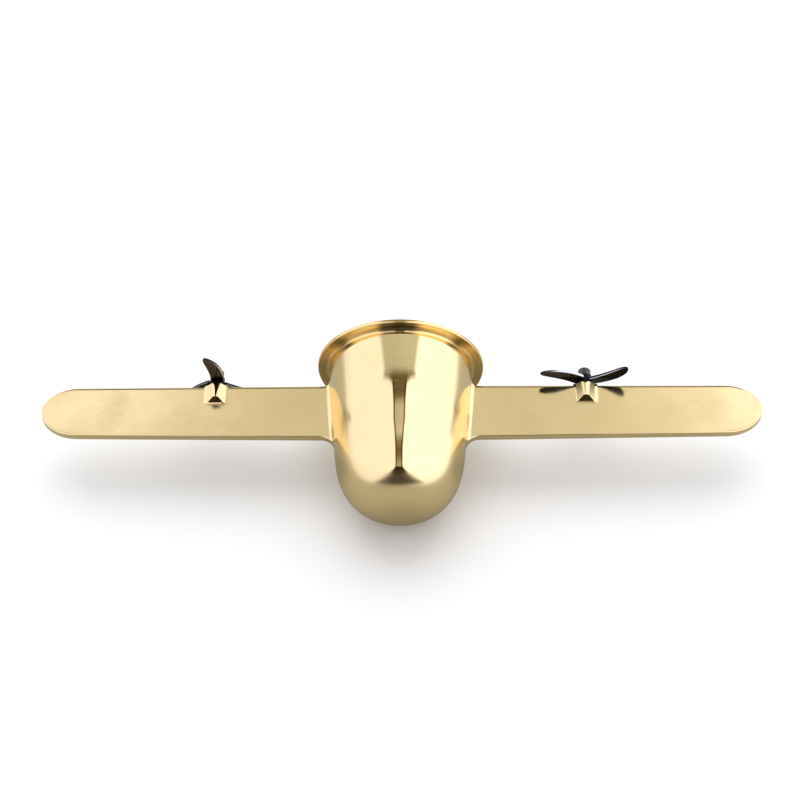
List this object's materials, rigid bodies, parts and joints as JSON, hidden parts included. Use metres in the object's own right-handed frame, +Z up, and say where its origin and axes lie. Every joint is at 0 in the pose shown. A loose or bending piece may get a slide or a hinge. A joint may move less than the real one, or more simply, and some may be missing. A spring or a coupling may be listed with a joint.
{
  "type": "desk aeroplane",
  "caption": "Polished brass desk aeroplane: an open cup with a rimmed nose for a fuselage, flat rounded wings, faceted engine pods and free-spinning scimitar propellers.",
  "frame": {"origin": "centre of the object's box, on the surface it stands on, with the nose rim and the belly of the tail both touching that surface", "axes": "+X along the wings towards the right wing tip, +Y forward towards the nose, +Z up; the fuselage's axis lies in the YZ plane and rises towards the nose by 9.87 degrees"},
  "size_m": [0.32, 0.0823, 0.0734],
  "materials": {
    "polished_brass": "hand polished to a mirror, with fine wipe marks and slight tarnish",
    "polished_brass_rim": "turned and polished, a little darker on its back face",
    "polished_brass_wing": "polished along the span, with fine scratches",
    "polished_brass_pod": "filed flat facets, polished, with soft edges",
    "dark_nickel": "black nickel plate, glossy, brighter along the edges",
    "sleeve_brass": "turned, bright",
    "dark_washer": "black nickel plate, satin",
    "black_steel": "blackened steel, satin, with a knurled head"
  },
  "bodies": {
    "root": {"fuselage_shell": "polished_brass", "rim_ring": "polished_brass_rim", "left_wing": "polished_brass_wing", "right_wing": "polished_brass_wing", "left_engine_pod": "polished_brass_pod", "right_engine_pod": "polished_brass_pod", "left_propeller_sleeve": "sleeve_brass", "right_propeller_sleeve": "sleeve_brass", "left_rear_washer": "dark_washer", "right_rear_washer": "dark_washer", "left_front_washer": "dark_washer", "right_front_washer": "dark_washer", "left_propeller_screw": "black_steel", "right_propeller_screw": "black_steel"},
    "left_propeller": {"left_propeller": "dark_nickel"},
    "right_propeller": {"right_propeller": "dark_nickel"}
  },
  "joints": [
    {"name": "left_propeller_spin", "type": "hinge", "parent": "root", "child": "left_propeller", "pos_m": [-0.0825, 0.02797, 0.03368], "axis": [0, 0.9852, 0.1714], "continuous": true},
    {"name": "right_propeller_spin", "type": "hinge", "parent": "root", "child": "right_propeller", "pos_m": [0.0825, 0.02797, 0.03368], "axis": [0, 0.9852, 0.1714], "continuous": true}
  ]
}
